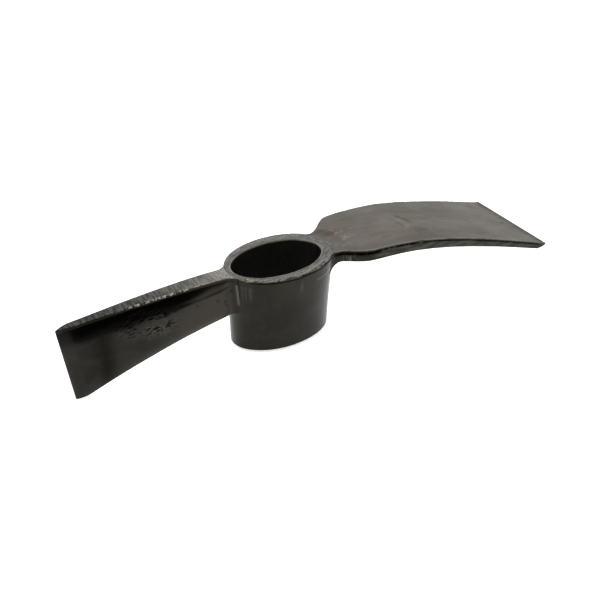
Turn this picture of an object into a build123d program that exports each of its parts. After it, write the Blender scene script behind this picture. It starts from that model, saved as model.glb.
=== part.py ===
from build123d import *
import os

# Head of a cutter mattock: a tapered oval eye collar with a broad hoe blade forged on one end
# and a narrow vertical cutter on the other.
# Frame: origin in the middle of the eye, in the plane of the collar's upper rim. +Z points up out of
# the eye, +X along the hoe blade and -X along the cutter. All sizes are in millimetres.

# Eye: a standard 3 x 2 inch slip eye, widest at the top, where the handle's thick end seats.
EYE_LENGTH = 76.0
EYE_WIDTH = 50.0
EYE_LENGTH_BOTTOM = 71.0
EYE_WIDTH_BOTTOM = 42.6

# Collar: its outer oval sits a little towards the hoe, so that the wall is thicker at that end.
COLLAR_HEIGHT = 66.0
WALL_SIDE = 8.7
WALL_CUTTER_END = 5.2
WALL_HOE_END = 9.8
WALL_BOTTOM = 6.6
COLLAR_WAIST = 0.5          # how far the walls hollow in at half height
RIM_ROUND = 1.6
EYE_ROUND = 0.8

# Hoe blade: seen from above it has a narrow neck, round shoulders and a straight cutting edge.
HOE_TIP_X = 241.1
HOE_TIP_Z = -38.2
HOE_EDGE_WIDTH = 93.2
HOE_GRIND = 10.0            # length of the ground bevel, which is mostly on the underside
HOE_TOP_LINE = [(38.0, 0.0), (75.0, 3.0), (125.0, -2.9), (180.0, -17.4)]
HOE_UNDER_LINE = [(180.0, -24.2), (125.0, -11.1), (75.0, -7.0)]
HOE_SHOULDER_X = 61.5
HOE_SHOULDER_WIDTH = 68.4
HOE_MIDDLE_X = 165.0
HOE_MIDDLE_WIDTH = 79.4
NECK_START_X = 40.8
NECK_END_X = 48.8
NECK_WIDTH = 38.8
NECK_FLARE = (31.0, 21.8)   # where the neck's side line would meet the collar's inside
NECK_ROUND = 8.0
SHOULDER_ROUND = 18.0
SHOULDER_RUN = 8.0          # from the shoulder's corner to where the blade's long side starts
SHOULDER_GROWTH = 0.4       # how much each half widens over that run
HOE_NECK_THICKNESS = 9.6
HOE_NECK_TOP = 1.0          # height of the neck's top where its thickness is measured
HOE_BEVEL_TOP = 2.3         # how far the bevel's upper and lower starts stand above and below the edge
HOE_BEVEL_UNDER = 1.2
GUSSET_DEPTH = 21.0         # how far down the collar the neck's underside fillet reaches
GUSSET_REACH = 11.0         # how far out from the collar the same fillet reaches
GUSSET_CURVE = [(0.0, 1.0), (0.3, 0.38), (0.65, 0.1), (1.0, 0.02)]     # shares of depth and of reach

# Cutter: a vertical wedge that gets deeper and thinner towards its edge.
CUTTER_TOP_X = -177.8
CUTTER_TOP_Z = -4.6
CUTTER_HEEL_X = -172.6
CUTTER_HEEL_Z = -68.5
CUTTER_TOP_LINE = [(-38.0, 0.0), (-90.0, 0.5), (-140.0, -1.7)]
CUTTER_UNDER_LINE = [(-140.0, -57.3), (-90.0, -42.4), (-38.0, -32.2)]
CUTTER_ROOT_THICKNESS = 15.6
CUTTER_MIDDLE_THICKNESS = 15.0
CUTTER_FORWARD_THICKNESS = 12.0
CUTTER_FRONT_THICKNESS = 9.4
CUTTER_ROOT_X = -44.5
CUTTER_MIDDLE_X = -95.0
CUTTER_FORWARD_X = -140.0
CUTTER_FLARE = (10.5, 8.4)  # how far the root's flare runs in and out before its corner is rounded
CUTTER_ROOT_ROUND = 10.0
CUTTER_GRIND = 10.0         # length of the ground bevel behind the edge
EDGE_THICKNESS = 0.8        # both edges are left a little blunt

# The collar's outer oval, at the top and at the bottom.
OUTER_LENGTH = EYE_LENGTH + WALL_CUTTER_END + WALL_HOE_END
OUTER_WIDTH = EYE_WIDTH + 2 * WALL_SIDE
OUTER_SHIFT = (WALL_HOE_END - WALL_CUTTER_END) / 2
OUTER_LENGTH_BOTTOM = EYE_LENGTH_BOTTOM + 2 * WALL_BOTTOM
OUTER_WIDTH_BOTTOM = EYE_WIDTH_BOTTOM + 2 * WALL_BOTTOM
CLEAR = 200.0               # longer than any section it is used to cut
INSIDE = 20.0               # how deep in the collar the blades' outlines start, before they are cut to it


def oval(length, width, height, shift=0.0):
    """An ellipse face of the given full length and width, at one height."""
    return Pos(shift, 0, height) * Ellipse(length / 2, width / 2)


def collar_blank():
    """The collar's outside as one solid, still without the eye: three ovals joined smoothly."""
    middle_length = (OUTER_LENGTH + OUTER_LENGTH_BOTTOM) / 2 - 2 * COLLAR_WAIST
    middle_width = (OUTER_WIDTH + OUTER_WIDTH_BOTTOM) / 2 - 2 * COLLAR_WAIST
    return loft([
        oval(OUTER_LENGTH_BOTTOM, OUTER_WIDTH_BOTTOM, -COLLAR_HEIGHT),
        oval(middle_length, middle_width, -COLLAR_HEIGHT / 2, OUTER_SHIFT / 2),
        oval(OUTER_LENGTH, OUTER_WIDTH, 0, OUTER_SHIFT),
    ])


def eye_space():
    """The tapered oval hole for the handle."""
    return loft([
        oval(EYE_LENGTH_BOTTOM, EYE_WIDTH_BOTTOM, -COLLAR_HEIGHT),
        oval(EYE_LENGTH, EYE_WIDTH, 0),
    ])


def eye_collar():
    """The ring that the handle passes through, with its rims rounded."""
    collar = collar_blank() - eye_space()
    top_edges = collar.edges().group_by(Axis.Z)[-1].sort_by(SortBy.LENGTH)
    bottom_edges = collar.edges().group_by(Axis.Z)[0].sort_by(SortBy.LENGTH)
    collar = fillet([top_edges[-1], bottom_edges[-1]], RIM_ROUND)
    inner_edges = [
        collar.edges().group_by(Axis.Z)[-1].sort_by(SortBy.LENGTH)[0],
        collar.edges().group_by(Axis.Z)[0].sort_by(SortBy.LENGTH)[0],
    ]
    return fillet(inner_edges, EYE_ROUND)


def prism(outline, direction, both=False):
    """A face swept a long way, to be intersected with another such prism."""
    return extrude(outline, amount=CLEAR, dir=direction, both=both)


def mirrored_plan(half_outline):
    """Close a half outline, given as curves on the +Y side, over its mirror image in the XZ plane."""
    half = Wire(half_outline)
    start = half @ 0
    end = half @ 1
    closing = Polyline((end.X, end.Y), (end.X, 0), (start.X, 0), (start.X, start.Y))
    face = make_face([*half.edges(), *closing.edges()])
    return face + mirror(face, Plane.XZ)


def hoe_plan():
    """The hoe seen from above."""
    round_end = (HOE_SHOULDER_X + SHOULDER_RUN, HOE_SHOULDER_WIDTH / 2 + SHOULDER_GROWTH)
    neck = FilletPolyline(
        NECK_FLARE,
        (NECK_START_X, NECK_WIDTH / 2),
        (NECK_END_X, NECK_WIDTH / 2),
        (HOE_SHOULDER_X, HOE_SHOULDER_WIDTH / 2),
        round_end,
        radius=[NECK_ROUND, NECK_ROUND, SHOULDER_ROUND],
    )
    side = ThreePointArc(round_end, (HOE_MIDDLE_X, HOE_MIDDLE_WIDTH / 2), (HOE_TIP_X, HOE_EDGE_WIDTH / 2))
    return mirrored_plan([*neck.edges(), side.edge()])


def hoe_side():
    """The hoe seen from the side: it rises a little past the neck, then curves down to its edge."""
    top_end = (HOE_TIP_X - HOE_GRIND / 2, HOE_TIP_Z + HOE_BEVEL_TOP)
    under_end = (HOE_TIP_X - HOE_GRIND, HOE_TIP_Z - HOE_BEVEL_UNDER)
    neck_end = (NECK_END_X + 3.2, HOE_NECK_TOP - HOE_NECK_THICKNESS)
    top = Spline(*HOE_TOP_LINE, top_end, tangents=[(1.0, 0.1), (1.0, -0.33)])
    under = Spline(under_end, *HOE_UNDER_LINE, neck_end)
    start = top @ 0
    end = top @ 1
    neck_under = under @ 1
    outline = [
        Line((INSIDE, 0), start),
        top,
        Line(end, (HOE_TIP_X, HOE_TIP_Z + EDGE_THICKNESS / 2)),
        Line((HOE_TIP_X, HOE_TIP_Z + EDGE_THICKNESS / 2), (HOE_TIP_X, HOE_TIP_Z - EDGE_THICKNESS / 2)),
        Line((HOE_TIP_X, HOE_TIP_Z - EDGE_THICKNESS / 2), under_end),
        under,
        Line(neck_under, (INSIDE, neck_under.Y)),
        Line((INSIDE, neck_under.Y), (INSIDE, 0)),
    ]
    return Plane.XZ * make_face(outline)


def neck_gusset(plan):
    """The hollow fillet under the neck. It follows the collar's oval, and it is cut to the neck's width."""
    ovals = []
    for depth_share, reach_share in GUSSET_CURVE:
        height = 2 * HOE_NECK_TOP - HOE_NECK_THICKNESS - depth_share * (GUSSET_DEPTH - HOE_NECK_THICKNESS)
        grow = 2 * GUSSET_REACH * reach_share
        ovals.append(oval(OUTER_LENGTH + grow, OUTER_WIDTH + grow, height, OUTER_SHIFT))
    ring = loft(ovals, ruled=True)
    return ring & Pos(0, 0, -CLEAR / 2) * prism(plan, (0, 0, 1))


def hoe_blade():
    """The broad blade, with its neck fitted to the collar."""
    plan = hoe_plan()
    blade = prism(hoe_side(), (0, 1, 0), both=True) & Pos(0, 0, -CLEAR / 2) * prism(plan, (0, 0, 1))
    return blade + neck_gusset(plan) - collar_blank()


def cutter_plan():
    """The cutter seen from above: a wedge whose sides flare into the collar."""
    front_x = CUTTER_TOP_X + CUTTER_GRIND
    root = FilletPolyline(
        (CUTTER_ROOT_X + CUTTER_FLARE[0], CUTTER_ROOT_THICKNESS / 2 + CUTTER_FLARE[1]),
        (CUTTER_ROOT_X, CUTTER_ROOT_THICKNESS / 2),
        (CUTTER_MIDDLE_X, CUTTER_MIDDLE_THICKNESS / 2),
        radius=CUTTER_ROOT_ROUND,
    )
    side = Spline(
        (CUTTER_MIDDLE_X, CUTTER_MIDDLE_THICKNESS / 2),
        (CUTTER_FORWARD_X, CUTTER_FORWARD_THICKNESS / 2),
        (front_x, CUTTER_FRONT_THICKNESS / 2),
        tangents=[(-1.0, -0.02), (-1.0, -0.05)],
    )
    grind = Line((front_x, CUTTER_FRONT_THICKNESS / 2), (CUTTER_TOP_X, EDGE_THICKNESS / 2))
    return mirrored_plan([*root.edges(), side.edge(), grind.edge()])


def cutter_side():
    """The cutter seen from the side."""
    top = Spline(*CUTTER_TOP_LINE, (CUTTER_TOP_X, CUTTER_TOP_Z))
    bottom = Spline((CUTTER_HEEL_X, CUTTER_HEEL_Z), *CUTTER_UNDER_LINE)
    start = top @ 0
    root = bottom @ 1
    outline = [
        Line((-INSIDE, 0), start),
        top,
        Line(top @ 1, bottom @ 0),
        bottom,
        Line(root, (-INSIDE, root.Y)),
        Line((-INSIDE, root.Y), (-INSIDE, 0)),
    ]
    return Plane.XZ * make_face(outline)


def cutter_blade():
    """The vertical wedge. Its thickness follows the slant of the cutting edge."""
    slant = Vector(CUTTER_HEEL_X - CUTTER_TOP_X, 0, CUTTER_HEEL_Z - CUTTER_TOP_Z).normalized()
    wedge = Pos(0, 0, CUTTER_TOP_Z) * extrude(cutter_plan(), amount=CLEAR / 2, dir=slant, both=True)
    return prism(cutter_side(), (0, 1, 0), both=True) & wedge - collar_blank()


def write_parts():
    os.makedirs("parts", exist_ok=True)
    nodes = {
        "eye_collar": eye_collar(),
        "hoe_blade": hoe_blade(),
        "cutter_blade": cutter_blade(),
    }
    for name, shape in nodes.items():
        export_step(shape, f"parts/{name}.step")
        box = shape.bounding_box()
        print(name, f"{shape.volume / 1000:.1f} cm3", box.min, box.max)


write_parts()
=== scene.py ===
import math
import bmesh
import bpy
import numpy as np
from mathutils import Matrix, Vector, noise


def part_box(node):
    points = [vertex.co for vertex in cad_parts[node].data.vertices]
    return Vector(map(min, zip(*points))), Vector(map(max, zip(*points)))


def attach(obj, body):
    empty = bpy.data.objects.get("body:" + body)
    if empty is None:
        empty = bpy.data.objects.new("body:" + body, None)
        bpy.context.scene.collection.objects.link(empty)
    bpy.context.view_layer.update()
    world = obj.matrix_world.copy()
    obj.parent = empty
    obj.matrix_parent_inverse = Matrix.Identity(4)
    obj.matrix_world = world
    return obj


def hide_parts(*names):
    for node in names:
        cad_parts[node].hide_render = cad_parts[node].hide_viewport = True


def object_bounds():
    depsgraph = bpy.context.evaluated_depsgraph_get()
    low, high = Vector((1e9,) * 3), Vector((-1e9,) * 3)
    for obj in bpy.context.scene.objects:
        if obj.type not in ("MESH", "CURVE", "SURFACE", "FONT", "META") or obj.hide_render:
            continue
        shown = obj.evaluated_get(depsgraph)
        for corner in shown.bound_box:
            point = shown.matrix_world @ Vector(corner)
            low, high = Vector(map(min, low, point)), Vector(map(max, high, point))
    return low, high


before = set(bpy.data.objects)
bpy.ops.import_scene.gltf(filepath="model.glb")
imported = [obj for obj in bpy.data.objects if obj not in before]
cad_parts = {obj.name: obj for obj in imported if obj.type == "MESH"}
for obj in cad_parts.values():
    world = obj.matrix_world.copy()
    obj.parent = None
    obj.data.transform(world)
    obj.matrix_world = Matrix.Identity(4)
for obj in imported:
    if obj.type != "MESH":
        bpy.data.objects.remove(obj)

mm = 0.001                      # shapes are worked out in millimetres, meshes are in metres
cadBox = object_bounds()
roomLow = np.array(cadBox[0]) / mm
roomHigh = np.array(cadBox[1]) / mm
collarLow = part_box("eye_collar")[0]
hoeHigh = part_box("hoe_blade")[1]
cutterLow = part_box("cutter_blade")[0]
armStart = 40.1                 # how far from the eye's middle the lines of both blades begin
wallSink = 0.3                  # how deep a blade's root starts inside the collar's wall
settleTurns = 40                # rounds in which a blade's sections settle against that curved wall
print("frame loaded:", sorted(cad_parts))


# helpers that shape the meshes

def lerp(a, b, t):
    return a + (b - a) * t


def smooth(t):
    t = np.clip(t, 0.0, 1.0)
    return t * t * (3.0 - 2.0 * t)


def bell(away, width):
    return np.exp(-(away / width) ** 2)


def hollow(gap, radius):
    # height of a round fillet at a distance from the wall that it runs into
    near = np.clip(radius - np.clip(gap, 0.0, radius), 0.0, radius)
    return radius - np.sqrt(radius ** 2 - near ** 2)


def clouds(points, size, seed, octaves=3):
    # soft seeded noise, about -1 to 1, with lumps of a size in millimetres
    shift = Vector((seed * 17.3, seed * 5.1, seed * 9.7))
    flat = points.reshape(-1, 3) / size
    values = [noise.fractal(Vector(p) + shift, 1.0, 2.0, octaves) for p in flat.tolist()]
    return np.array(values).reshape(points.shape[:-1])


def stroke(points, start, end, width):
    # 1 on a line drawn over the blade in plan, fading out to its width and past its ends
    start, end = np.array(start), np.array(end)
    line = end - start
    share = np.clip(((points[..., :2] - start) @ line) / (line @ line), 0.0, 1.0)
    away = points[..., :2] - start - share[..., None] * line
    fade = smooth(4 * share + 0.3) * smooth(4.3 - 4 * share)
    return bell(np.hypot(away[..., 0], away[..., 1]), width) * fade


def spot(x, y, place):
    # a soft spot on a blade in plan: its middle, half length, half width and strength
    middleX, middleY, length, width, strength = place
    return strength * bell(x - middleX, length) * bell(y - middleY, width)


def curve(terms, out):
    # a bent line: its start, its slope and how that changes, with out in hundreds of millimetres
    return sum(term * out ** power for power, term in enumerate(terms))


def ridge(across, up, route, width):
    # 1 along a bent line that is drawn on the unrolled wall
    nearest = np.full(np.broadcast(across, up).shape, 1e9)
    for start, end in zip(route[:-1], route[1:]):
        run, rise = end[0] - start[0], end[1] - start[1]
        share = np.clip(((across - start[0]) * run + (up - start[1]) * rise) / (run ** 2 + rise ** 2), 0, 1)
        nearest = np.minimum(nearest, np.hypot(across - start[0] - share * run, up - start[1] - share * rise))
    return bell(nearest, width)


def outward(points, wrapRows):
    # the surface's outward directions, on a grid whose columns run round in a loop
    across = np.roll(points, -1, axis=1) - np.roll(points, 1, axis=1)
    if wrapRows:
        along = np.roll(points, -1, axis=0) - np.roll(points, 1, axis=0)
    else:
        along = np.gradient(points, axis=0)
    normals = np.cross(across, along)
    normals = normals / np.maximum(np.linalg.norm(normals, axis=-1, keepdims=True), 1e-9)
    widest = np.unravel_index(points[..., 1].argmax(), points.shape[:2])
    return normals * np.sign(normals[widest][1])


def gridObject(name, points, marks, wrapRows):
    # points: rows x columns x 3 in millimetres, each row a closed loop; marks become mesh attributes
    points = np.clip(points, roomLow, roomHigh)
    rows, columns = points.shape[:2]
    index = np.arange(rows * columns).reshape(rows, columns)
    faces = []
    for i in range(rows if wrapRows else rows - 1):
        here = index[i]
        after = index[(i + 1) % rows]
        faces.extend(np.stack([here, np.roll(here, -1), np.roll(after, -1), after], axis=1).tolist())
    mesh = bpy.data.meshes.new(name)
    mesh.from_pydata((points.reshape(-1, 3) * mm).tolist(), [], faces)
    for markName, values in marks.items():
        layer = mesh.attributes.new(markName, "FLOAT", "POINT")
        layer.data.foreach_set("value", np.clip(values, 0.0, 1.0).astype(np.float32).ravel())
    weldGap, sliver = 0.004 * mm, 0.001 * mm
    work = bmesh.new()
    work.from_mesh(mesh)
    bmesh.ops.remove_doubles(work, verts=work.verts, dist=weldGap)
    bmesh.ops.dissolve_degenerate(work, dist=sliver, edges=work.edges)
    bmesh.ops.recalc_face_normals(work, faces=work.faces)
    for face in work.faces:
        face.smooth = True
    work.to_mesh(mesh)
    work.free()
    piece = bpy.data.objects.new(name, mesh)
    bpy.context.scene.collection.objects.link(piece)
    print(name, len(mesh.polygons), "faces")
    return piece


# helpers that make the materials

class Wire:
    # one socket of a node tree, so that shader maths reads as plain sums
    def __init__(self, tree, socket=None):
        self.tree = tree
        self.socket = socket

    def node(self, kind, settings=None, values=None, out=0):
        made = self.tree.nodes.new(kind)
        for name, setting in (settings or {}).items():
            setattr(made, name, setting)
        for name, value in (values or {}).items():
            if isinstance(value, Wire):
                self.tree.links.new(value.socket, made.inputs[name])
            else:
                made.inputs[name].default_value = value
        return Wire(self.tree, made.outputs[out])

    def maths(self, operation, first, second):
        if self.socket.type == "VALUE":
            return self.node("ShaderNodeMath", {"operation": operation}, {0: first, 1: second})
        return self.node("ShaderNodeVectorMath", {"operation": operation}, {0: first, 1: second})

    def __add__(self, other):
        return self.maths("ADD", self, other)

    def __radd__(self, other):
        return self.maths("ADD", other, self)

    def __sub__(self, other):
        return self.maths("SUBTRACT", self, other)

    def __rsub__(self, other):
        return self.maths("SUBTRACT", other, self)

    def __mul__(self, other):
        return self.maths("MULTIPLY", self, other)

    def __rmul__(self, other):
        return self.maths("MULTIPLY", other, self)


def mark(wire, name):
    return wire.node("ShaderNodeAttribute", {"attribute_name": name}, out="Fac")


def grain(wire, size, stretch=(1, 1, 1), shift=0.0, detail=3.0, rough=0.5):
    # noise with lumps of a size in millimetres, drawn out along an axis by its stretch
    place = wire.node("ShaderNodeTexCoord", out="Object")
    place = place * tuple(1 / (size * mm * s) for s in stretch) + (shift, shift * 0.7, shift * 1.3)
    values = {"Vector": place, "Scale": 1.0, "Detail": detail, "Roughness": rough}
    return wire.node("ShaderNodeTexNoise", {}, values, "Fac")


def step(value, low, high):
    # climbs smoothly from 0 to 1 while a value goes from low to high
    values = {"Value": value, "From Min": low, "From Max": high}
    return value.node("ShaderNodeMapRange", {"interpolation_type": "SMOOTHSTEP"}, values)


def blend(amount, first, second):
    # one colour changing to another
    return amount.node("ShaderNodeMix", {"data_type": "RGBA"}, {0: amount, 6: first, 7: second}, 2)


steel = {
    "deepBlack": (0.0025, 0.0022, 0.0018, 1),
    "scaleGreen": (0.055, 0.0525, 0.0385, 1),
    "scalePink": (0.066, 0.0505, 0.0435, 1),
    "scaleDark": (0.028, 0.0245, 0.019, 1),
    "bare": (0.20, 0.18, 0.155, 1),
    "tint": (1.0, 0.95, 0.87, 1),
    "ior": 1.42,
    "gloss": 0.196,             # a thin old lacquer shines less than new paint
    "bumpHeight": 0.1,          # millimetres for a height of 1
}


def steelMaterial(name):
    material = bpy.data.materials.new(name)
    material.use_nodes = True
    shader = material.node_tree.nodes["Principled BSDF"]
    shader.inputs["IOR"].default_value = steel["ior"]
    shader.inputs["Specular IOR Level"].default_value = steel["gloss"]
    shader.inputs["Specular Tint"].default_value = steel["tint"]
    return material, Wire(material.node_tree), shader


def connectSteel(shader, wire, color, rough, height, metal):
    distance = steel["bumpHeight"] * mm
    normal = wire.node("ShaderNodeBump", {}, {"Height": height, "Distance": distance, "Strength": 1.0})
    for name, value in {"Base Color": color, "Roughness": rough, "Metallic": metal, "Normal": normal}.items():
        wire.tree.links.new(value.socket, shader.inputs[name])


# eye collar

collar = {
    "height": -collarLow[2] / mm,
    "eyeLength": 76.0,          # 3 inch
    "eyeWidth": 50.0,           # 2 inch
    "eyeLowLength": 71.0,
    "eyeLowWidth": 42.6,
    "sideWall": 8.7,
    "cutterEndWall": 5.2,
    "hoeEndWall": 9.8,
    "lowWall": 6.6,
    "waist": 0.5,               # hollow of the walls at half height
    "rimRoundFront": 2.6,
    "rimRoundBack": 0.6,
    "rimRoundAtArms": 0.45,
    "lowRound": 0.6,
    "eyeRound": 0.7,
    "farLift": 0.5,             # how much higher the rim stands on the far side
    "aroundSteps": 512,
    "wallSteps": 84,
    "rimSteps": 20,
    "eyeSteps": 56,
    "footSteps": 9,
    "cornerSteps": 8,
    "forging": 0.13,            # how uneven the hammered wall is
    "eyeForging": 0.16,
    "rimForging": 0.08,
    "rimGrain": 0.04,
    "burr": 0.45,
    "burrAngle": -145.5,        # where the burr stands on the rim, in degrees round from the hoe
    "flash": ((-27.0, -2.0), (-27.2, -7.0), (-29.5, -8.6), (-33.2, -9.4), (-38.5, -10.3), (-44.5, -10.2)),
    "flashWidth": 0.55,
    "flashHeight": 0.22,
    "unrollRadius": 38.0,       # the flash line's millimetres round the wall are counted at this radius
    "paintedReflections": ((-153.0, 1.3), (-148.5, 1.0), (-142.5, 2.2)),      # painted reflections as pale upright bars: degrees and width
    "paintedReflectionStrength": 0.34,
    # a painted highlight spot on the wall
    "paintedCollarSpot": {"angle": -87.0, "z": -11.0, "width": 1.7, "height": 4.5, "strength": 0.26},
    "wallDark": (0.0045, 0.0036, 0.0022, 1),
    "wallLight": (0.0095, 0.0082, 0.0050, 1),
    "rimDark": (0.021, 0.0195, 0.0175, 1),
    "rimLight": (0.094, 0.090, 0.083, 1),
    "eyeDark": (0.0045, 0.0042, 0.0036, 1),
    "eyeScratch": (0.028, 0.025, 0.022, 1),
    # colour of the painted highlights
    "glintColor": (0.15, 0.14, 0.12, 1),
    "seed": 3,
}


def collarOutside(z):
    # half length, half width and middle of the outer oval at a height
    drop = np.clip(-z / collar["height"], 0.0, 1.0)
    topLength = collar["eyeLength"] + collar["cutterEndWall"] + collar["hoeEndWall"]
    topWidth = collar["eyeWidth"] + 2 * collar["sideWall"]
    lowLength = collar["eyeLowLength"] + 2 * collar["lowWall"]
    lowWidth = collar["eyeLowWidth"] + 2 * collar["lowWall"]
    hollowed = 4 * collar["waist"] * drop * (1 - drop)
    middle = (collar["hoeEndWall"] - collar["cutterEndWall"]) / 2 * (1 - drop)
    halfLength = lerp(topLength, lowLength, drop) / 2 - hollowed
    halfWidth = lerp(topWidth, lowWidth, drop) / 2 - hollowed
    return halfLength, halfWidth, middle


def collarWallX(y, z, side):
    # where the collar's outer wall stands, towards the hoe (side 1) or the cutter (side -1)
    halfLength, halfWidth, middle = collarOutside(z)
    return middle + side * halfLength * np.sqrt(np.clip(1 - (y / halfWidth) ** 2, 0.01, 1.0))


def collarRows(cos, sin, topRound):
    # the wall's profile, from the foot up the outside, over the rim and down the eye
    height = collar["height"]

    def outer(z, inset):
        halfLength, halfWidth, middle = collarOutside(z)
        nx, ny = cos / halfLength, sin / halfWidth
        size = np.hypot(nx, ny)
        x = middle + halfLength * cos - nx / size * inset
        return np.stack([x, halfWidth * sin - ny / size * inset, z + 0 * cos], axis=-1)

    def inner(z, outset):
        halfLength = lerp(collar["eyeLength"], collar["eyeLowLength"], -z / height) / 2
        halfWidth = lerp(collar["eyeWidth"], collar["eyeLowWidth"], -z / height) / 2
        nx, ny = cos / halfLength, sin / halfWidth
        size = np.hypot(nx, ny)
        x = halfLength * cos + nx / size * outset
        return np.stack([x, halfWidth * sin + ny / size * outset, z + 0 * cos], axis=-1)

    def corner(wall, edgeZ, side, radius, rising):
        # a quarter turn between a wall and a rim, side -1 under the rim and 1 over the foot
        turned = []
        for angle in np.linspace(0, math.pi / 2, collar["cornerSteps"]):
            toWall, toRim = radius * (1 - math.cos(angle)), radius * (1 - math.sin(angle))
            if rising:
                turned.append(wall(edgeZ + side * toRim, toWall))
            else:
                turned.append(wall(edgeZ + side * toWall, toRim))
        return turned

    def between(steps):
        return np.linspace(0, 1, collar[steps])[1:-1]

    wallLow = -height + collar["lowRound"]
    rows = [outer(lerp(wallLow, -topRound, t), 0.0) for t in between("wallSteps")]
    rows += corner(outer, 0.0, -1, topRound, True)
    eyeEdge = corner(inner, 0.0, -1, collar["eyeRound"], False)
    rows += [lerp(rows[-1], eyeEdge[0], t) for t in between("rimSteps")]
    rows += eyeEdge
    eyeDeep = -height + collar["eyeRound"]
    rows += [inner(lerp(-collar["eyeRound"], eyeDeep, t), 0.0) for t in between("eyeSteps")]
    rows += corner(inner, -height, 1, collar["eyeRound"], True)
    foot = corner(outer, -height, 1, collar["lowRound"], False)
    rows += [lerp(rows[-1], foot[0], t) for t in between("footSteps")]
    rows += foot
    return np.stack(rows)


def makeCollar():
    turn = np.linspace(0, 2 * math.pi, collar["aroundSteps"], endpoint=False)
    cos, sin = np.cos(turn), np.sin(turn)
    arms = np.maximum(np.exp(-((turn - math.pi) / 0.36) ** 2), smooth((cos - 0.72) / 0.12))
    topRound = lerp(collar["rimRoundBack"], collar["rimRoundFront"], smooth(-sin / 0.6))
    topRound = lerp(topRound, collar["rimRoundAtArms"], arms)
    points = collarRows(cos, sin, topRound)
    normals = outward(points, True)
    x, y, z = points[..., 0], points[..., 1], points[..., 2]
    seed = collar["seed"]
    inEye = smooth(-(normals[..., 0] * x + normals[..., 1] * y * 2) / 8.0)
    wall = 1 - inEye
    onRim = smooth((normals[..., 2] - 0.45) / 0.35)
    eyeSize = np.hypot(x / (collar["eyeLength"] / 2), y / (collar["eyeWidth"] / 2))
    lip = bell((eyeSize - 1) * 30, 0.8) * smooth((z + 1.6) / 1.2)
    angle = np.degrees(turn)[None, :] - 360 * (turn[None, :] > math.pi)
    speck = clouds(points, 1.6, seed + 5, 2)
    burr = bell(angle - collar["burrAngle"], 4.5) * smooth((z + 2.0) / 1.5)
    burr = burr * wall * smooth((eyeSize - 1.08) * 20)
    outerEdge = smooth((z + 2.2) / 1.6) * smooth((eyeSize - 1.12) * 20) * (1 - arms)
    forging = collar["forging"] * clouds(points * (1, 1, 0.6), 24, seed)
    forging += 0.035 * clouds(points, 8, seed + 1, 2)
    eyeMarks = collar["eyeForging"] * clouds(points * (1, 1, 0.25), 9, seed + 2)
    rimWaves = collar["rimForging"] * clouds(points, 9, seed + 3)
    rimWaves = rimWaves + collar["rimGrain"] * clouds(points, 1.3, seed + 4, 2)
    lift = wall * (1 - onRim) * forging * (1 - 0.6 * arms) + inEye * eyeMarks + onRim * rimWaves
    lift += 0.10 * outerEdge * np.clip(clouds(points, 2.4, seed + 6, 2) + 0.2, -0.3, 1)
    lift += collar["burr"] * burr * np.clip(speck + 0.15, 0, 1)
    points = points + normals * lift[..., None]
    points[..., 2] += collar["farLift"] * smooth(y / 22) * (1 - arms) * np.exp(z / 8)
    outerLip = bell(normals[..., 2] - 0.78, 0.22) * smooth((eyeSize - 1.1) * 20)
    outerLip = outerLip * (1 - arms) * smooth((z + 4) / 2)
    arc = np.radians(angle) * collar["unrollRadius"]
    flash = ridge(arc, z, collar["flash"], collar["flashWidth"]) * wall
    # painted reflections: pale upright bars of colour fixed on the wall
    paintedReflections = sum(bell(angle - at, width) for at, width in collar["paintedReflections"])
    paintedReflections = paintedReflections * smooth((-z - 5.0) / 1.5) * smooth((z + 26) / 16) * wall
    paintedReflections = collar["paintedReflectionStrength"] * paintedReflections * (0.7 + 0.6 * clouds(points, 5, seed + 9))
    # painted highlight spot on the wall
    paintedCollarSpot = collar["paintedCollarSpot"]
    paintedCollarSpotMask = bell(angle - paintedCollarSpot["angle"], paintedCollarSpot["width"]) * bell(z - paintedCollarSpot["z"], paintedCollarSpot["height"]) * wall
    points = points + normals * (collar["flashHeight"] * flash)[..., None]
    unrolled = np.stack([eyeSize * 34, angle / 9 + 0 * eyeSize, 0 * eyeSize], axis=-1)
    rings = clouds(unrolled, 1.3, seed + 7, 3) + 0.6 * clouds(points, 1.2, seed + 8, 2)
    marks = {
        "rim": onRim,
        "eye": inEye,
        "rings": 0.5 + 0.8 * rings,
        "lip": np.maximum(lip, 1.6 * burr * smooth(0.3 + speck * 3)),
        "edge": outerLip,
        # glint: painted highlights, that is pale colour along the raised flash ridge, the painted reflection
        # bars and the painted highlight spot
        "glint": np.maximum(np.maximum(0.8 * flash, paintedReflections), paintedCollarSpot["strength"] * paintedCollarSpotMask),
    }
    piece = gridObject("eyeCollar", points, marks, True)
    piece.data.materials.append(collarMaterial())
    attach(piece, "root")
    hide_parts("eye_collar")


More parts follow.
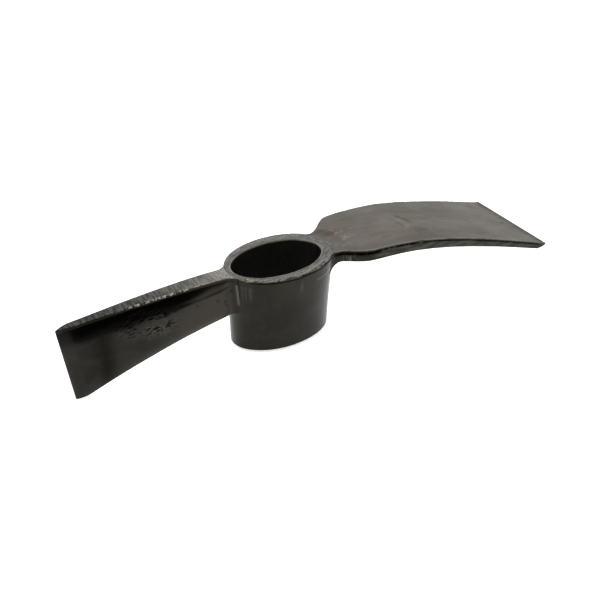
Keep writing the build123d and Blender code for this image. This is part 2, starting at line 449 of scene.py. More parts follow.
def collarMaterial():
    material, wire, shader = steelMaterial("collarSteel")
    names = ("rim", "eye", "lip", "edge", "glint", "rings")
    rim, eye, lip, edge, glint, rings = [mark(wire, name) for name in names]
    broad = grain(wire, 18, shift=1.0)
    fine = grain(wire, 1.1, shift=2.0, detail=4.0)
    scratched = step(grain(wire, 1.0, (0.7, 0.7, 9), 4.0, 3.0), 0.60, 0.72)
    wallColor = blend(step(broad, 0.35, 0.7), collar["wallDark"], collar["wallLight"])
    ringed = step(rings * 0.75 + fine * 0.25, 0.22, 0.78)
    rimColor = blend(ringed, collar["rimDark"], collar["rimLight"])
    eyeColor = blend(scratched * 0.6, collar["eyeDark"], collar["eyeScratch"])
    bare = step(lip * (0.4 + fine * 1.3), 0.34, 0.64)
    bare = bare + rim * edge * step(rings * 0.4 + fine * 0.6, 0.40, 0.54) * 0.75
    color = blend(rim, wallColor, rimColor)
    color = blend(eye, color, eyeColor)
    color = blend(bare, color, steel["bare"])
    # painted highlights from the glint mark
    color = blend(glint * 0.5, color, collar["glintColor"])
    rough = 0.17 + 0.08 * broad + rim * (0.22 + 0.12 * rings) + eye * 0.25
    height = 0.10 * broad + rim * (0.9 * rings + 0.6 * fine) + eye * 0.4 * scratched + edge * 0.3 * fine
    metal = rim * (1 - ringed) * 0.35 + bare * 0.5
    connectSteel(shader, wire, color, rough, height, metal)
    return material


# the loop of a round-cornered section that both blades are drawn with

def sectionLoop(longSteps, shortSteps, cornerSteps, crowding):
    # one closed loop as (along, across, cornerAlong, cornerAcross) shares, crowded towards the long ends
    quarter = np.linspace(0, math.pi / 2, cornerSteps + 1)[1:-1]
    even = np.linspace(-1, 1, longSteps)
    line = lerp(even, np.sin(even * math.pi / 2), crowding)
    edge = np.linspace(-1, 1, shortSteps)
    loop = [(u, 1.0, 0.0, 1.0) for u in line]
    loop += [(1.0, 1.0, math.sin(a), math.cos(a)) for a in quarter]
    loop += [(1.0, -v, 1.0, 0.0) for v in edge]
    loop += [(1.0, -1.0, math.cos(a), -math.sin(a)) for a in quarter]
    loop += [(-u, -1.0, 0.0, -1.0) for u in line]
    loop += [(-1.0, -1.0, -math.sin(a), -math.cos(a)) for a in quarter]
    loop += [(-1.0, v, -1.0, 0.0) for v in edge]
    loop += [(-1.0, 1.0, -math.cos(a), math.sin(a)) for a in quarter]
    return np.array(loop).T


# hoe blade

hoe = {
    "tipX": hoeHigh[0] / mm,
    "edgeHalfWidth": hoeHigh[1] / mm - 0.15,
    "nearNeck": {"half": 17.4, "rise": 16.9, "start": 46.0, "slope": 0.95, "soft": 1.5, "softEnd": 3.6},
    "farNeck": {"half": 19.6, "rise": 14.6, "start": 46.2, "slope": 1.03, "soft": 2.2, "softEnd": 2.2},
    "topLine": (0.0, 17.2, -28.9, 5.51),    # the top first rises, then curves down
    "thickness": (10.05, -1.30, -0.35),     # from the collar out to the edge
    "crowding": 0.6,            # how much closer the mesh's points stand towards the blade's sides
    "rootX": 47.8,
    "shoulderX": 65.0,
    "fitLength": 14.0,          # length over which the sections turn from the collar's curve to flat
    "gussetRadius": 9.0,
    "cornerRadius": 0.5,
    "grind": 8.5,
    "tipLift": 0.35,            # how far the top turns up again at the edge
    "tipLiftLength": 6.0,
    "edgeThickness": 0.5,
    "tipFlare": 26.0,           # length over which the blade widens most, and by how much
    "tipGrowth": 0.9,
    "longSteps": 120,
    "shortSteps": 22,
    "cornerSteps": 5,
    "alongStep": 0.75,
    "forging": 0.24,
    "lipHeight": 0.28,          # shear lip along the top's sides
    "chipDepth": 0.5,
    "chipsFrom": 68.0,
    "chipsTo": 125.0,
    "crease": ((118.0, 12.5), (124.0, -7.0)),
    "dentFloor": ((113.0, 0.0), (114.5, -12.0)),
    "creaseDepth": 0.6,
    "scratch": ((211.0, -2.0), (236.0, -2.0)),
    "scratchDepth": 0.12,
    # the spots below are x, y, half length, half width and strength
    # painted highlights: pale spots beside the crease, near the neck and towards the edge
    "paintedHoeHighlights": ((117.5, -9.5, 3.0, 3.0, 1.0), (118.0, 2.0, 3.0, 5.0, 0.5),
               (68.0, -18.0, 12.0, 9.0, 0.55), (198.0, -14.0, 16.0, 11.0, 0.32)),
    "mottledShade": (122.0, -20.0, 16.0, 9.0, 1.7),
    "farShade": (84.0, 26.0, 13.0, 12.0, 0.5),
    "cornerShade": (232.0, -34.0, 11.0, 9.0, 1.0),
    "dirtLines": (((209.0, -2.5), (236.0, -1.5), 0.6), ((216.0, 33.0), (226.0, 27.0), 0.5)),
    "dirtSpot": (216.5, -1.0, 2.6, 2.6, 0.8),
    "dirtCloud": (228.0, -5.0, 8.0, 8.0, 0.9),
    "flecked": (60.0, -2.0, 8.0, 13.0, 1.0),
    "stain": (221.0, 32.0, 7.0, 8.0, 1.0),
    "neckStreaks": {"x": 52.5, "length": 3.2, "depth": 3.2, "height": 0.16},
    "wornColor": (0.092, 0.083, 0.068, 1),
    "paintedHoeHighlightColor": (0.118, 0.106, 0.088, 1),
    "stainColor": (0.066, 0.036, 0.036, 1),
    # dark colour for real dirt and for painted shade
    "dirtAndShadeColor": (0.010, 0.0085, 0.007, 1),
    "fleckColor": (0.15, 0.142, 0.105, 1),
    "tipColor": (0.016, 0.0135, 0.011, 1),
    "sideDark": (0.0125, 0.0115, 0.0075, 1),
    "sideLight": (0.036, 0.034, 0.025, 1),
    "neckShade": (0.0065, 0.0055, 0.0045, 1),
    "neckStreak": (0.075, 0.068, 0.056, 1),
    "lipBare": (0.17, 0.157, 0.137, 1),
    "seed": 11,
}


def softRamp(x, start, slope, rise, soft, softEnd):
    # climbs at a slope from a start, by a rise, with both corners rounded
    end = start + rise / slope
    climb = soft * np.logaddexp(0, (x - start) / soft)
    return slope * (climb - softEnd * np.logaddexp(0, (x - end) / softEnd))


def hoeHalfWidth(x, far):
    side = hoe["farNeck"] if far else hoe["nearNeck"]
    neck = side["half"] + 0.07 * np.clip(43.0 - x, 0, 6.5) ** 2
    shoulder = softRamp(x, side["start"], side["slope"], side["rise"], side["soft"], side["softEnd"])
    out = np.clip(x - hoe["shoulderX"], 0, None)
    width = neck + shoulder + 0.045 * out + 0.00010 * out ** 2
    nearTip = smooth((x - hoe["tipX"] + hoe["tipFlare"]) / hoe["tipFlare"])
    return np.minimum(width + hoe["tipGrowth"] * nearTip, hoe["edgeHalfWidth"])


def makeHoe():
    loop = sectionLoop(hoe["longSteps"], hoe["shortSteps"], hoe["cornerSteps"], hoe["crowding"])
    along, across, cornerAlong, cornerAcross = loop
    fit = hoe["fitLength"]
    flatX = np.arange(hoe["rootX"] + fit, hoe["tipX"] - 3.0, hoe["alongStep"])
    tipX = np.linspace(hoe["tipX"] - 3.0, hoe["tipX"] - 0.15, 9)       # closer together at the edge
    stationX = np.concatenate([hoe["rootX"] + np.arange(0, fit, 0.5), flatX, tipX])
    gap = stationX - hoe["rootX"]
    turned = smooth(gap / fit)[:, None]
    x = np.repeat(stationX[:, None], len(along), axis=1)
    y = np.zeros_like(x)
    z = np.zeros_like(x)
    for turnOver in range(settleTurns):
        wall = collarWallX(y, z, 1)
        x = lerp(wall - wallSink + gap[:, None], stationX[:, None], turned)
        toTip = np.clip(hoe["tipX"] - x, 0, None)
        out = (x - armStart) / 100
        ground = np.clip(toTip / hoe["grind"], 0, 1) ** 0.6
        thickness = lerp(hoe["edgeThickness"], curve(hoe["thickness"], out), ground)
        top = curve(hoe["topLine"], out) * smooth((x - wall + wallSink) / 12.0)
        top = top + hoe["tipLift"] * np.clip(1 - toTip / hoe["tipLiftLength"], 0, 1) ** 2
        thickness = thickness + hollow(x - wall + wallSink, hoe["gussetRadius"])
        radius = np.minimum(hoe["cornerRadius"], thickness * 0.45)
        half = np.where(along > 0, hoeHalfWidth(x, True), hoeHalfWidth(x, False))
        y = along * (half - radius) + cornerAlong * radius
        z = top - thickness / 2 + across * (thickness / 2 - radius) + cornerAcross * radius
    points = np.stack([x, y, z], axis=-1)
    points, marks = forgeHoe(points, half, top, x - wall, toTip)
    points = closeEnds(points, lambda p: collarWallX(p[:, 1], p[:, 2], 1) - wallSink, hoe["tipX"])
    for name, values in marks.items():
        marks[name] = np.concatenate([np.repeat(values[:1], 4, axis=0), values, values[-1:]])
    piece = gridObject("hoeBlade", points, marks, False)
    piece.data.materials.append(hoeMaterial())
    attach(piece, "root")
    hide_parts("hoe_blade")


def forgeHoe(points, half, top, fromWall, toTip):
    # hammered surfaces, the shear lip with its chips, the crease and the scratches near the edge
    seed = hoe["seed"]
    normals = outward(points, False)
    x, y, z = points[..., 0], points[..., 1], points[..., 2]
    onTop = smooth((normals[..., 2] - 0.3) / 0.4)
    onSide = smooth((np.abs(normals[..., 1]) - 0.5) / 0.3)
    calm = smooth(fromWall / 6.0) * smooth(toTip / 2.0)
    edgeGap = half - np.abs(y)
    depth = top - z
    alongOnly = points * (1, 0, 0) + (0, 1, 0) * np.sign(y)[..., None] * 40
    ragged = clouds(alongOnly, 3.2, seed + 3)
    lip = bell(edgeGap, 1.0) * bell(depth, 0.9)
    pastNeck = smooth((x - hoe["chipsFrom"]) / 10.0)
    deepRun = pastNeck * smooth((hoe["chipsTo"] - x) / 14.0)
    groove = bell(depth - lerp(2.3, 1.4, pastNeck), lerp(1.7, 0.8, pastNeck)) * onSide * smooth(toTip / 14.0)
    groove = groove * smooth((x - 40) / 3)
    chip = groove * np.clip(0.62 + 0.3 * ragged + deepRun * (0.05 + 0.9 * ragged), 0, 1.1)
    lift = hoe["forging"] * clouds(points * (0.5, 1, 1), 19, seed)
    lift = lift + 0.05 * clouds(points * (0.5, 1, 1), 6, seed + 1)
    lift *= lerp(0.6, 1.0, onTop)
    bent = points - (1, 0, 0) * (2.5 * bell(y - 2, 7))[..., None]      # the dent's edges are curved
    dentEdge = stroke(bent, *hoe["crease"], 1.7)
    dentFloor = stroke(points, *hoe["dentFloor"], 2.0)
    lift -= onTop * hoe["creaseDepth"] * (dentEdge + 0.7 * dentFloor)
    lift -= onTop * hoe["scratchDepth"] * stroke(points, *hoe["scratch"], 0.8) * (0.6 + 0.8 * ragged)
    streaks = hoe["neckStreaks"]
    streaked = bell(x - streaks["x"], streaks["length"]) * smooth((depth - streaks["depth"]) / 1.5) * onSide
    lift += streaks["height"] * streaked * clouds(alongOnly, 1.5, seed + 4, 2)
    lift += 0.05 * onSide * clouds(points * (0.3, 1, 1), 2.2, seed + 5, 2)
    lift += hoe["lipHeight"] * lip * np.clip(0.7 + 0.6 * ragged, 0, 1.4)
    lift -= lerp(1.9, 1.0, pastNeck) * hoe["chipDepth"] * chip
    points = points + normals * (lift * calm)[..., None]
    tipBand = onTop * smooth((11 - toTip) / 8.0)
    # painted shade along the dent's crease and floor
    crease = np.maximum(0.42 * dentEdge, 0.36 * dentFloor) * onTop
    corner = spot(x, y, hoe["cornerShade"]) * (0.5 + 0.9 * clouds(points, 3.5, seed + 8))
    scratch = sum(strength * stroke(points, start, end, 1.8) for start, end, strength in hoe["dirtLines"])
    scratch = scratch + spot(x, y, hoe["dirtSpot"])
    torn = np.clip(0.4 + 1.3 * clouds(points, 4.5, seed + 9), 0, 1)
    scratch = scratch + spot(x, y, hoe["dirtCloud"]) * torn
    mottled = np.clip(0.75 + 0.6 * clouds(points, 9, seed + 7), 0, 1.2)
    # painted shade patches on the top
    shade = mottled * spot(x, y, hoe["mottledShade"]) + spot(x, y, hoe["farShade"])
    shade = shade + np.clip(corner, 0, 1)
    marks = {
        "top": onTop,
        "side": onSide,
        "lip": lip * calm,
        "chip": chip,
        "tipBand": tipBand,
        # real dirt lines and spots, with painted shade in the crease and in patches
        "dirtAndPaintedShade": np.maximum(crease, 0.9 * scratch * onTop) + 0.32 * shade * onTop,
        "outer": smooth((x - 110) / 60),
        "spots": spot(x, y, hoe["flecked"]) * onTop,
        "neck": streaked,
        "shadowed": smooth((76 - x) / 12) * onSide,
        "paintedHoeHighlight": sum(spot(x, y, place) for place in hoe["paintedHoeHighlights"]),
        "stain": spot(x, y, hoe["stain"]),
    }
    return points, marks


def closeEnds(points, wallAt, tipX):
    # the root closes on the collar's wall and the tip on its edge, each by drawing its loop shut
    root = points[0]
    middle = root[:, 2].mean()
    halfway = 2 * hoe["longSteps"] + hoe["shortSteps"] + 2 * (hoe["cornerSteps"] - 1)
    caps = []
    for share in (0.0, 0.25, 0.5, 0.75):
        ring = root.copy()
        below = np.roll(ring[::-1, 1], halfway)         # each point meets the one below it
        ring[:, 1] = lerp((ring[:, 1] + below) / 2, ring[:, 1], share)
        ring[:, 2] = lerp(middle, root[:, 2], share)
        ring[:, 0] = wallAt(ring)
        caps.append(ring)
    tip = points[-1].copy()
    tip[:, 0] = tipX
    tip[:, 1] = (tip[:, 1] + np.roll(tip[::-1, 1], halfway)) / 2
    tip[:, 2] = tip[:, 2].mean()
    return np.concatenate([np.stack(caps), points, tip[None]])


def hoeMaterial():
    material, wire, shader = steelMaterial("hoeSteel")
    names = ("top", "side", "lip", "chip", "tipBand", "dirtAndPaintedShade")
    top, side, lip, chip, tipBand, dirtAndPaintedShade = [mark(wire, name) for name in names]
    names = ("spots", "neck", "outer", "paintedHoeHighlight", "stain", "shadowed")
    spots, neck, outer, paintedHoeHighlight, stain, shadowed = [mark(wire, name) for name in names]
    broad = grain(wire, 24, (1.8, 1, 1), 1.0, 2.0)
    tinted = grain(wire, 20, (1.8, 1, 1), 5.0, 2.0)
    cloudy = grain(wire, 8, (1.8, 1, 1), 8.0, 3.0)
    drawn = grain(wire, 3.0, (5, 1, 1), 2.0, 4.0)
    fine = grain(wire, 0.8, (1.6, 1, 1), 3.0, 4.0, 0.6)
    streaks = grain(wire, 1.6, (1, 4, 12), 6.0, 2.0)
    flecks = step(grain(wire, 3.6, (1.5, 1, 1), 7.0, 3.0), 0.55, 0.66)
    topColor = blend(step(tinted - outer * 0.05, 0.38, 0.62), steel["scaleGreen"], steel["scalePink"])
    worn = step(broad * 0.55 + cloudy * 0.30 + drawn * 0.15 + outer * 0.02 + spots * 0.04, 0.38, 0.60)
    topColor = blend((1 - worn) * 0.75, topColor, steel["scaleDark"])
    rubbed = worn * step(cloudy * 0.5 + drawn * 0.5, 0.44, 0.64)
    topColor = blend(rubbed * 0.35, topColor, hoe["wornColor"])
    # painted highlights
    topColor = blend(paintedHoeHighlight * 0.6, topColor, hoe["paintedHoeHighlightColor"])
    topColor = blend(stain * 0.8, topColor, hoe["stainColor"])
    # dark colour for real dirt and for painted shade
    topColor = blend(dirtAndPaintedShade * 0.9, topColor, hoe["dirtAndShadeColor"])
    topColor = blend(flecks * (0.06 + spots * 0.6), topColor, hoe["fleckColor"])
    groundMarks = tipBand * step(drawn * 0.5 + fine * 0.5, 0.42, 0.56)
    topColor = blend(groundMarks * 0.8, topColor, hoe["tipColor"])
    sideColor = blend(step(drawn, 0.38, 0.64), hoe["sideDark"], hoe["sideLight"])
    sideColor = blend(shadowed * 0.8, sideColor, hoe["neckShade"])
    neckColor = blend(step(streaks, 0.42, 0.62), steel["deepBlack"], hoe["neckStreak"])
    sideColor = blend(neck, sideColor, neckColor)
    soot = step(chip, 0.15, 0.45)
    bare = lip * top * step(fine + drawn, 0.8, 1.1) * 0.8
    color = blend(top, sideColor, topColor)
    color = blend(bare, color, hoe["lipBare"])
    color = blend(soot, color, steel["deepBlack"])
    rough = 0.24 + 0.08 * drawn + top * (0.06 + 0.30 * cloudy) + tipBand * 0.05
    height = 0.3 * drawn + 0.15 * fine + top * 0.8 * cloudy + 0.5 * chip * fine + side * 0.2 * drawn
    metal = soot * 0.9 + top * (1 - worn) * 0.25 + dirtAndPaintedShade * 0.6 + bare * 0.3
    connectSteel(shader, wire, color, rough, height, metal)
    return material


# cutter blade

cutter = {
    "edgeTopX": cutterLow[0] / mm,
    "edgeTopZ": -5.2,
    "heelX": -172.6,
    "heelZ": cutterLow[2] / mm,
    "rootX": -43.2,
    "fitLength": 9.0,
    "sideFillet": 6.0,
    "underFillet": 2.0,
    "cornerRadius": 0.5,
    "grind": 10.0,
    "edgeThickness": 0.6,
    "crownTop": 2.6,            # how far the sides lean in towards the top
    "crownDepth": 0.40,         # share of the height over which they do
    "crownLow": 2.2,            # how far they lean in again towards the bottom
    "topLine": (0.4, 5.27, -10.17, 3.17),
    "underLine": (-32.4, -14.4, -12.2, 1.6),
    "halfThickness": (7.4, -1.9, -1.0),
    "tipRoundLength": 8.0,      # length over which the edge's two ends are rounded off
    "tipTopDrop": 1.3,
    "tipUnderRise": 1.1,
    "crowding": 0.5,            # how much closer the mesh's points stand towards top and bottom
    "longSteps": 110,
    "shortSteps": 20,
    "cornerSteps": 5,
    "alongStep": 0.6,
    "forging": 0.16,
    "shear": 0.09,              # ridges across the sheared top
    "burr": 0.42,
    "tornFromX": -72.0,         # the burr is torn between these, and thin outside them
    "tornToX": -134.0,
    "pits": ((-56.0, -15.0, 1.5), (-50.0, -18.8, 1.6), (-49.0, -22.0, 1.2),
             (-73.0, -14.0, 1.2), (-44.0, -11.0, 1.8)),         # x, z and size
    "pitDepth": 0.3,
    "patch": {"x": -111.0, "z": -18.0, "length": 30.0, "height": 14.0, "lean": 0.25, "leanX": -112.0,
              "depth": 0.34},
    "streak": {"x": -60.0, "z": -8.5, "slope": 0.11, "width": 1.3, "fromX": -42.0, "toX": -104.0,
               "depth": 0.14},
    # painted shade under the top edge, and a painted dark band near the edge
    "shadow": {"turnX": -95.0, "turnLength": 40.0, "tipReach": 20.0, "rootReach": 6.0,
               "rootStrength": 0.5, "edgeX": -172.0, "edgeLength": 16.0, "edgeStrength": 0.45},
    "paintedShadeBand": {"x": -147.0, "width": 8.0, "strength": 0.48},
    "paintedRootStreak": {"y": -11.2, "width": 0.8, "fromX": -46.0, "top": -5.0, "low": -27.0},
    "joinReach": 5.5,           # how far the collar's colour runs on over the root
    "topDarkest": (0.004, 0.0036, 0.003, 1),
    "topDark": (0.030, 0.027, 0.022, 1),
    "topMiddle": (0.034, 0.030, 0.025, 1),
    "topLight": (0.092, 0.086, 0.076, 1),
    "topHighlightColor": (0.22, 0.205, 0.185, 1),
    "sideDark": (0.0045, 0.0036, 0.0022, 1),
    "sideLight": (0.012, 0.0105, 0.0075, 1),
    "rootColor": (0.026, 0.023, 0.0175, 1),
    "patchColor": (0.056, 0.052, 0.040, 1),
    "joinColor": (0.008, 0.0068, 0.0044, 1),
    "groundColor": (0.010, 0.009, 0.006, 1),
    "paintedStreakColor": (0.12, 0.112, 0.095, 1),
    "burrColor": (0.24, 0.225, 0.20, 1),
    "seed": 29,
}


def makeCutter():
    loop = sectionLoop(cutter["longSteps"], cutter["shortSteps"], cutter["cornerSteps"], cutter["crowding"])
    along, across, cornerAlong, cornerAcross = loop
    fit = cutter["fitLength"]
    length = cutter["rootX"] - cutter["edgeTopX"]
    toFit = np.arange(0, fit, 0.5)
    toTip = np.arange(fit, length - 2.0, cutter["alongStep"])
    lastGap = 0.2
    gap = np.concatenate([toFit, toTip, np.linspace(length - 2.0, length - lastGap, 6)])
    turned = smooth(gap / fit)[:, None]
    lean = (cutter["heelX"] - cutter["edgeTopX"]) * smooth(gap / length)[:, None]
    toEdge = (length - gap)[:, None]
    x = np.repeat(cutter["rootX"] - gap[:, None], len(along), axis=1)
    y = np.zeros_like(x)
    z = np.zeros_like(x)
    tipRound = np.clip(1 - toEdge / cutter["tipRoundLength"], 0, 1) ** 2
    for turnOver in range(settleTurns):
        wall = collarWallX(y, z, -1)
        down = np.clip((cutter["edgeTopZ"] - z) / (cutter["edgeTopZ"] - cutter["heelZ"]), 0, 1)
        x = lerp(wall + wallSink - gap[:, None], cutter["rootX"] - gap[:, None] + lean * down, turned)
        out = (-x - armStart) / 100
        top = curve(cutter["topLine"], out) - cutter["tipTopDrop"] * tipRound
        bottom = curve(cutter["underLine"], out) + cutter["tipUnderRise"] * tipRound
        away = wall + wallSink - x
        bottom = bottom - hollow(away, cutter["underFillet"])
        share = np.clip((top - z) / (top - bottom), 0, 1)
        crown = cutter["crownTop"] * (1 - np.clip(1 - share / cutter["crownDepth"], 0, 1) ** 2)
        crown = crown - cutter["crownLow"] * np.clip((share - 0.75) / 0.25, 0, 1) ** 2
        half = curve(cutter["halfThickness"], out) + crown * smooth(away / 14.0)
        ground = np.clip(toEdge / cutter["grind"], 0, 1) ** 0.65
        half = lerp(cutter["edgeThickness"] / 2, half, ground) + hollow(away, cutter["sideFillet"])
        radius = np.minimum(cutter["cornerRadius"], half * 0.6)
        y = across * (half - radius) + cornerAcross * radius
        z = (top + bottom) / 2 - along * ((top - bottom) / 2 - radius) - cornerAlong * radius
    points = np.stack([x, y, z], axis=-1)
    points, marks = forgeCutter(points, half, top, away, toEdge)
    root = points[0]
    caps = []
    for share in (0.0, 0.33, 0.66):
        ring = root.copy()
        ring[:, 1] = root[:, 1] * share
        ring[:, 0] = collarWallX(ring[:, 1], ring[:, 2], -1) + wallSink
        caps.append(ring)
    tip = points[-1].copy()
    tip[:, 0] -= lastGap
    tip[:, 1] = 0.0
    points = np.concatenate([np.stack(caps), points, tip[None]])
    for name, values in marks.items():
        marks[name] = np.concatenate([np.repeat(values[:1], 3, axis=0), values, values[-1:]])
    piece = gridObject("cutterBlade", points, marks, False)
    piece.data.materials.append(cutterMaterial())
    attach(piece, "root")
    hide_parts("cutter_blade")


def forgeCutter(points, half, top, away, toEdge):
    # shear ridges over the top, the ragged burr beside them and the rough patch on the sides
    seed = cutter["seed"]
    normals = outward(points, False)
    x, y, z = points[..., 0], points[..., 1], points[..., 2]
    onTop = smooth((normals[..., 2] - 0.4) / 0.4)
    onSide = smooth((np.abs(normals[..., 1]) - 0.5) / 0.3)
    calm = smooth(away / 4.0) * smooth(toEdge / 2.0)
    depth = top - z
    slanted = points * (1, 0.16, 0)
    ridges = clouds(slanted * (1, 1, 0), 1.6, seed, 2)
    alongOnly = points * (1, 0, 0) + (0, 1, 0) * np.sign(y)[..., None] * 40
    ragged = clouds(alongOnly, 1.5, seed + 1)
    speck = clouds(points, 0.9, seed + 2, 2)
    corner = bell(depth - 0.4, 0.75) * smooth((np.abs(y) - half + 1.4) / 1.1)
    onNear = smooth(0.5 - y / 4.0)
    burrRun = smooth((cutter["tornFromX"] - x) / 10.0) * smooth((x - cutter["tornToX"]) / 12.0)
    torn = burrRun * np.clip(0.48 + 0.8 * ragged + 0.9 * speck, 0, 1.3)
    thin = (1 - burrRun) * smooth((x + 160) / 50) * 0.8
    thin = thin * bell(depth - 0.2, 0.45) * (0.7 + 0.5 * speck)
    burr = corner * lerp(0.22, 1.0, onNear) * (torn + thin)
    place = cutter["patch"]
    upPatch = z - place["z"] + place["lean"] * (x - place["leanX"])
    toPatch = np.hypot((x - place["x"]) / place["length"], upPatch / place["height"])
    patch = smooth(1.25 - toPatch) * onSide * smooth(0.6 + clouds(points, 9, seed + 3))
    diagonal = points @ np.array([[0.30, 0.0, -0.25], [0.0, 1.0, 0.0], [0.25, 0.0, 1.0]])
    pitted = np.clip(1.6 * clouds(diagonal, 1.5, seed + 4) - 0.1, -1, 0.3)
    line = cutter["streak"]
    streak = bell(z - line["z"] - line["slope"] * (x - line["x"]), line["width"]) * onSide
    streak = streak * smooth((line["fromX"] - x) / 6) * smooth((x - line["toX"]) / 20)
    forging = cutter["forging"] * clouds(points * (0.5, 1, 1), 16, seed + 5)
    forging += 0.035 * clouds(points * (0.5, 1, 1), 5, seed + 6, 2)
    lift = forging * onSide + onTop * (cutter["shear"] * ridges + 0.03 * speck)
    lift += place["depth"] * patch * pitted + 0.05 * patch * speck
    lift -= line["depth"] * streak * (0.7 + 0.6 * ragged)
    pits = sum(bell(np.hypot(x - pitX, z - pitZ), size) * onSide for pitX, pitZ, size in cutter["pits"])
    lift -= cutter["pitDepth"] * pits
    lift += cutter["burr"] * burr
    points = points + normals * (lift * calm)[..., None]
    shadow, paintedShadeBand, paintedRootStreak = cutter["shadow"], cutter["paintedShadeBand"], cutter["paintedRootStreak"]
    # painted shade on the sides: a dark band under the top edge that reaches further down towards the edge,
    # and a painted dark band across the side near the edge
    toRoot = smooth((x - shadow["turnX"]) / shadow["turnLength"])
    reach = lerp(shadow["tipReach"], shadow["rootReach"], toRoot)
    fromEdge = smooth((x - shadow["edgeX"]) / shadow["edgeLength"])
    strength = lerp(1.0, shadow["rootStrength"], toRoot) * lerp(shadow["edgeStrength"], 1.0, fromEdge)
    under = smooth((depth - 1.5) / 1.5) * smooth((reach - depth) / (0.6 * reach)) * strength
    paintedBandShade = bell(x - paintedShadeBand["x"] + 2 * clouds(points, 6, seed + 7), paintedShadeBand["width"])
    under = np.maximum(under, paintedShadeBand["strength"] * paintedBandShade * smooth((depth - 2) / 4))
    paintedStreakEnds = smooth((paintedRootStreak["top"] - z) / 2) * smooth((z - paintedRootStreak["low"]) / 6)
    marks = {
        "top": onTop,
        "burr": burr,
        "rough": patch,
        "pit": patch * smooth(-1.6 * pitted) + 0.45 * pits,
        # a painted highlight streak on the near fillet at the root
        "paintedRootStreak": bell(y - paintedRootStreak["y"], paintedRootStreak["width"]) * smooth((x - paintedRootStreak["fromX"]) / 3) * paintedStreakEnds,
        "shear": smooth(0.5 + ridges),
        "ground": smooth((11.5 - toEdge) / 3.0) * onSide,
        # painted shade under the top edge and in the band near the edge
        "under": under * onSide,
        # 1 near the root, 0 towards the edge: the cutter is coloured lighter near the root and darker towards
        #                                      the edge
        "root": smooth((x + 125) / 70.0),
        "join": smooth((cutter["joinReach"] - away) / 4.5) * (1 - onTop),
        # painted highlight on the top near the collar
        "glow": smooth((x + 62) / 14.0) * onTop,
        "streak": streak,
    }
    return points, marks


def cutterMaterial():
    material, wire, shader = steelMaterial("cutterSteel")
    names = ("top", "burr", "rough", "pit", "shear", "ground", "under")
    top, burr, rough, pit, shear, ground, under = [mark(wire, name) for name in names]
    root, glow, streak, paintedRootStreak, join = [mark(wire, name) for name in ("root", "glow", "streak", "paintedRootStreak", "join")]
    broad = grain(wire, 18, (2.0, 1, 1), 1.0, 2.0)
    drawn = grain(wire, 3.0, (5, 1, 1), 2.0, 4.0)
    fine = grain(wire, 0.9, shift=3.0, detail=4.0, rough=0.6)
    shearFine = grain(wire, 0.7, (0.6, 8, 8), 4.0)
    lines = step(shear * 0.35 + shearFine * 0.65, 0.34, 0.66)
    topDark = blend(lines, cutter["topDarkest"], cutter["topDark"])
    topLight = blend(lines, cutter["topMiddle"], cutter["topLight"])
    # the top is lighter towards the root and darker towards the edge
    topColor = blend(root, topDark, topLight)
    # painted highlight near the root
    topColor = blend(glow * step(fine, 0.42, 0.6), topColor, cutter["topHighlightColor"])
    sideColor = blend(step(broad, 0.42, 0.58), cutter["sideDark"], cutter["sideLight"])
    sideColor = blend(root * (1 - under) * 0.85, sideColor, cutter["rootColor"])
    sideColor = blend(rough * step(fine, 0.44, 0.60) * 0.85, sideColor, cutter["patchColor"])
    sideColor = blend(join, sideColor, cutter["joinColor"])
    # soot: real soot in the pits and streak, painted shade under the top edge and in the edge band, and
    # darker towards the edge on the sides and top
    tip = 1 - step(root, 0.0, 0.10)
    soot = (1 - top) * (under * 0.85 + pit + streak * 0.45 + tip * 0.22)
    soot = top * (1 - root) * (1 - lines) * 0.6 + soot
    bare = step(burr * (0.25 + 1.3 * fine), 0.25, 0.62)
    color = blend(ground * 0.4, sideColor, cutter["groundColor"])
    color = blend(top, color, topColor)
    color = blend(step(soot, 0.0, 0.8), color, steel["deepBlack"])
    # painted highlight streak at the root
    color = blend(paintedRootStreak * 0.6, color, cutter["paintedStreakColor"])
    color = blend(bare, color, cutter["burrColor"])
    roughness = 0.21 + 0.08 * drawn + top * 0.20 + rough * 0.12
    height = 0.2 * drawn + 0.10 * fine + top * 1.2 * shearFine + rough * 1.6 * fine + burr * fine
    metal = step(soot, 0.0, 1.0) * 0.92
    connectSteel(shader, wire, color, roughness, height, metal)
    return material


# floor, lights and camera

stage = {
    "floorSize": 9.0,
    "floorColor": (0.84, 0.84, 0.84, 1),
    "floorGlow": 0.70,          # the floor gives a little light itself, so shadows stay faint
    "sheetRough": 0.8,
    "sheetGloss": 0.1,
    "worldColor": (1.0, 1.0, 1.0, 1),
    "worldStrength": 1.35,
    "backLight": {"from": (0.40, 0.73, 0.62), "distance": 1.6, "size": 1.3, "power": 9.0},
    "card": {"y": -0.155, "fromX": -0.40, "toX": 0.65, "height": 0.27, "color": (0.01, 0.01, 0.01, 1)},
}

view = {
    "location": (-0.28034, -0.54331, 0.36301),
    "turn": math.radians(-28.94),
    "pitch": math.radians(33.40),
    "roll": math.radians(-1.46),
    "fieldOfView": math.radians(36.48),
}


def flatSheet(name, corners, color, glow):
    mesh = bpy.data.meshes.new(name)
    mesh.from_pydata(corners, [], [(0, 1, 2, 3)])
    sheet = bpy.data.objects.new(name, mesh)
    bpy.context.scene.collection.objects.link(sheet)
    material = bpy.data.materials.new(name)
    material.use_nodes = True
    shader = material.node_tree.nodes["Principled BSDF"]
    shader.inputs["Base Color"].default_value = color
    shader.inputs["Roughness"].default_value = stage["sheetRough"]
    shader.inputs["Specular IOR Level"].default_value = stage["sheetGloss"]
    shader.inputs["Emission Color"].default_value = color
    shader.inputs["Emission Strength"].default_value = glow
    mesh.materials.append(material)
    return sheet


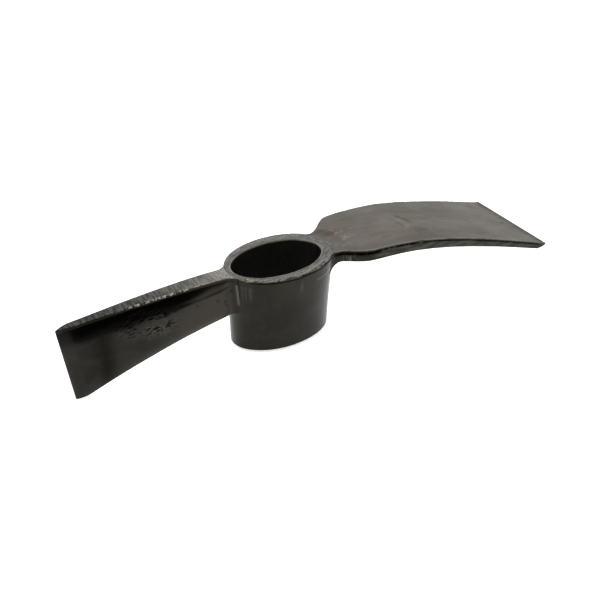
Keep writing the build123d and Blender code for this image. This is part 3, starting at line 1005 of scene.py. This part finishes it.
def makeFloor():
    size = stage["floorSize"] / 2
    low = cadBox[0][2]
    corners = [(-size, -size, low), (size, -size, low), (size, size, low), (-size, size, low)]
    flatSheet("floor", corners, stage["floorColor"], stage["floorGlow"])


def makeCard():
    # a black card in front, which only the gloss of the steel sees
    card = stage["card"]
    low = cadBox[0][2]
    high = low + card["height"]
    corners = [(card["fromX"], card["y"], low), (card["toX"], card["y"], low),
               (card["toX"], card["y"], high), (card["fromX"], card["y"], high)]
    sheet = flatSheet("card", corners, card["color"], 0.0)
    sheet.visible_camera = False
    sheet.visible_diffuse = False
    sheet.visible_shadow = False


def makeLights():
    world = bpy.data.worlds.new("studio")
    bpy.context.scene.world = world
    world.use_nodes = True
    background = world.node_tree.nodes["Background"]
    background.inputs["Color"].default_value = stage["worldColor"]
    background.inputs["Strength"].default_value = stage["worldStrength"]
    back = stage["backLight"]
    light = bpy.data.lights.new("backLight", "AREA")
    light.shape = "DISK"
    light.size = back["size"]
    light.energy = back["power"]
    lamp = bpy.data.objects.new("backLight", light)
    toward = Vector(back["from"]).normalized()
    lamp.location = toward * back["distance"]
    lamp.rotation_euler = toward.to_track_quat("Z", "Y").to_euler()
    lamp.visible_camera = False
    bpy.context.scene.collection.objects.link(lamp)


def makeCamera():
    a, e, r = view["turn"], view["pitch"], view["roll"]
    back = Vector((math.sin(a) * math.cos(e), -math.cos(a) * math.cos(e), math.sin(e)))
    right = Vector((math.cos(a), math.sin(a), 0))
    up = back.cross(right)
    rolledRight = math.cos(r) * right + math.sin(r) * up
    rolledUp = math.cos(r) * up - math.sin(r) * right
    camera = bpy.data.objects.new("camera", bpy.data.cameras.new("camera"))
    camera.data.sensor_fit = "HORIZONTAL"
    camera.data.angle = view["fieldOfView"]
    axes = Matrix((rolledRight, rolledUp, back)).transposed().to_4x4()
    camera.matrix_world = Matrix.Translation(Vector(view["location"])) @ axes
    bpy.context.scene.collection.objects.link(camera)
    bpy.context.scene.camera = camera


makeCamera()
makeFloor()
makeCard()
makeLights()
print("stage, lights and camera made")
makeCollar()
makeHoe()
makeCutter()
bpy.context.scene.view_settings.view_transform = "Standard"
